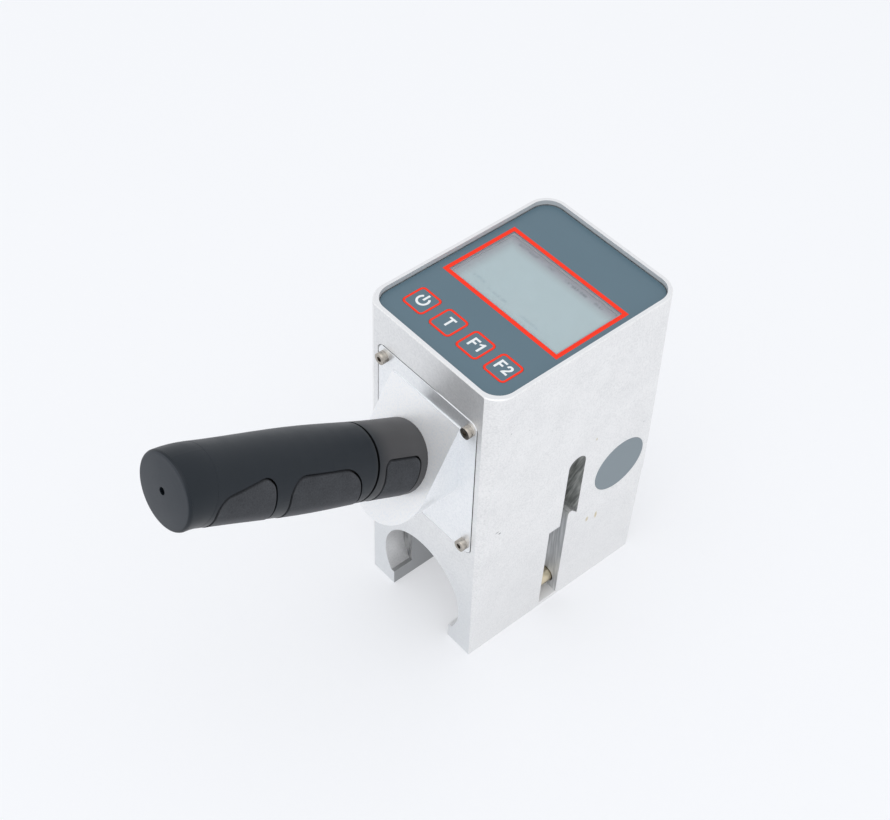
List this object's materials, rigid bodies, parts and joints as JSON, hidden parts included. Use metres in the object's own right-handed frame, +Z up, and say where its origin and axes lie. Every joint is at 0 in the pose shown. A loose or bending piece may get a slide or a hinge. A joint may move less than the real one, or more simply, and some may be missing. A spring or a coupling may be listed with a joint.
{
  "type": "chain tension meter",
  "caption": "Handheld chain load meter: slotted aluminium block with an arch for the chain, a display and keys on top and a rubber grip on a wedge bracket.",
  "frame": {"origin": "on the floor under the middle of the whole outline", "axes": "+Z up, +X across the block to its right side as seen from the grip, -Y towards the grip and +Y towards the rear face"},
  "size_m": [0.082, 0.2346, 0.1962],
  "materials": {
    "machined_aluminium": "milled, fine upright grain",
    "bracket_aluminium": "milled",
    "panel_aluminium": "black anodised",
    "overlay_film": "printed film",
    "key_film": "printed film",
    "window_film": "clear film",
    "display_glass": "grey display",
    "window_tape": "pale foam tape",
    "gasket_rubber": "matte",
    "black_plastic": "moulded",
    "board_laminate": "solder mask",
    "standoff_brass": "turned",
    "steel": "stainless",
    "zinc_steel": "yellow zinc",
    "cell_jacket": "sleeve",
    "grip_rubber": "satin",
    "pad_rubber": "fine grain",
    "cap_plastic": "smooth",
    "foil": "film"
  },
  "bodies": {
    "meter": {"load_block": "machined_aluminium", "keypad_overlay": "overlay_film", "display_window": "window_film", "window_gasket": "window_tape", "lcd_module": "display_glass", "panel_plate": "panel_aluminium", "key_switches": "black_plastic", "main_board": "board_laminate", "board_standoffs": "standoff_brass", "board_screws": "steel", "battery_holder": "black_plastic", "battery_cells": "cell_jacket", "handle_bracket": "bracket_aluminium", "cover_gasket": "gasket_rubber", "cover_screws": "steel", "handle_tube": "steel", "handle_plug": "steel", "handle_bolt": "steel", "grip_sleeve": "grip_rubber", "grip_collar": "grip_rubber", "grip_outer_pad": "pad_rubber", "grip_middle_pad": "pad_rubber", "grip_collar_pad": "pad_rubber", "gauge_caps": "cap_plastic", "strain_gauges": "foil", "stop_bolts": "zinc_steel"},
    "power_button": {"power_key": "key_film"},
    "tare_button": {"tare_key": "key_film"},
    "f1_button": {"f1_key": "key_film"},
    "f2_button": {"f2_key": "key_film"}
  },
  "joints": [
    {"name": "power_press", "type": "slide", "parent": "meter", "child": "power_button", "axis": [0, 0, -1], "range_m": [0, 0.0004], "stiffness_N_per_m": 1500},
    {"name": "tare_press", "type": "slide", "parent": "meter", "child": "tare_button", "axis": [0, 0, -1], "range_m": [0, 0.0004], "stiffness_N_per_m": 1500},
    {"name": "f1_press", "type": "slide", "parent": "meter", "child": "f1_button", "axis": [0, 0, -1], "range_m": [0, 0.0004], "stiffness_N_per_m": 1500},
    {"name": "f2_press", "type": "slide", "parent": "meter", "child": "f2_button", "axis": [0, 0, -1], "range_m": [0, 0.0004], "stiffness_N_per_m": 1500}
  ]
}
